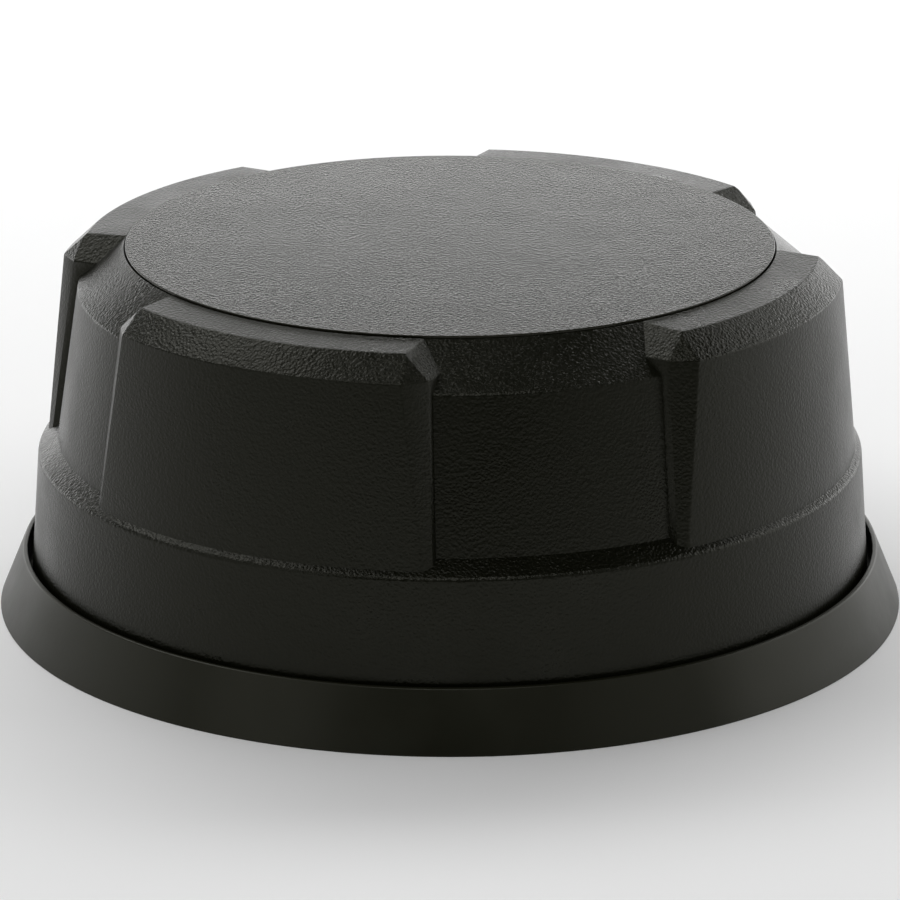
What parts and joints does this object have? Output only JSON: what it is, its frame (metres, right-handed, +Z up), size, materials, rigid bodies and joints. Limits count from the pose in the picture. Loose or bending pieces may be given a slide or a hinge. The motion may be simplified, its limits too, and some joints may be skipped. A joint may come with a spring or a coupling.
{
  "type": "gnss receiver",
  "caption": "Low round satellite-positioning receiver: ribbed black dome on a flared rubber skirt, with a pole thread, bracket threads and a capped data port underneath.",
  "frame": {"origin": "centre of the skirt's foot, on the surface the receiver stands on", "axes": "+Z up through the crown disc; the notches between the lugs lie on +X, +Y, -X and -Y; the connector bay is underneath, towards +Y"},
  "size_m": [0.16, 0.16, 0.0651],
  "materials": {
    "shell_plastic": "black weatherproof plastic, fine spark grain",
    "disc_plastic": "black plastic, fine even texture",
    "skirt_rubber": "smooth matte black rubber",
    "adhesive": "bonding film",
    "base_paint": "die-cast, black powder coat",
    "seal_rubber": "seal rubber",
    "stainless": "stainless steel",
    "brass": "machined brass",
    "nickel": "nickel-plated brass",
    "insulator_plastic": "black nylon",
    "contact_gold": "gold-plated brass",
    "vent_plastic": "black nylon",
    "membrane": "porous membrane",
    "board_green": "glass-fibre board, green solder mask",
    "shield_tin": "tinned steel",
    "chip_plastic": "black moulding compound",
    "capacitor_can": "aluminium can",
    "bare_aluminium": "bare sheet",
    "substrate_ceramic": "microwave ceramic",
    "patch_silver": "fired silver",
    "nylon": "nylon",
    "cap_metal": "nickel-plated, knurled"
  },
  "bodies": {
    "housing": {"radome": "shell_plastic", "top_cap": "disc_plastic", "cap_adhesive": "adhesive", "skirt_boot": "skirt_rubber", "base_plate": "base_paint", "housing_seal": "seal_rubber", "base_screws": "stainless", "radome_inserts": "brass", "pole_insert": "brass", "mounting_inserts": "brass", "port_body": "nickel", "port_insulator": "insulator_plastic", "port_pins": "contact_gold", "port_gasket": "seal_rubber", "port_nut": "nickel", "vent_plug": "vent_plastic", "vent_membrane": "membrane", "receiver_board": "board_green", "board_standoffs": "stainless", "gnss_shield": "shield_tin", "gnss_chip": "chip_plastic", "wireless_module": "shield_tin", "processor": "chip_plastic", "memory_chips": "chip_plastic", "power_inductors": "chip_plastic", "filter_capacitors": "capacitor_can", "cell_holder": "insulator_plastic", "backup_cell": "stainless", "ground_plane": "bare_aluminium", "ground_plane_screws": "stainless", "lna_board": "board_green", "lna_shield": "shield_tin", "lna_chips": "chip_plastic", "lna_screws": "stainless", "lower_substrate": "substrate_ceramic", "lower_patch": "patch_silver", "upper_substrate": "substrate_ceramic", "upper_patch": "patch_silver", "feed_pins": "contact_gold", "antenna_screw": "nylon", "rf_jacks": "contact_gold", "rf_link": "contact_gold"},
    "cap_seal": {"port_cap_seal": "seal_rubber"},
    "dust_cap": {"port_cap": "cap_metal"}
  },
  "joints": [
    {"name": "cap_lift", "type": "slide", "parent": "housing", "child": "cap_seal", "axis": [0, 0, -1], "range_m": [0, 0.0048]},
    {"name": "cap_turn", "type": "hinge", "parent": "cap_seal", "child": "dust_cap", "pos_m": [0, 0.04, 0.0085], "axis": [0, 0, -1], "range_deg": [0, 1710]}
  ],
  "couplings": [
    {"joint": "cap_lift", "follows": "cap_turn", "m_per_rad": 0.00015915}
  ]
}
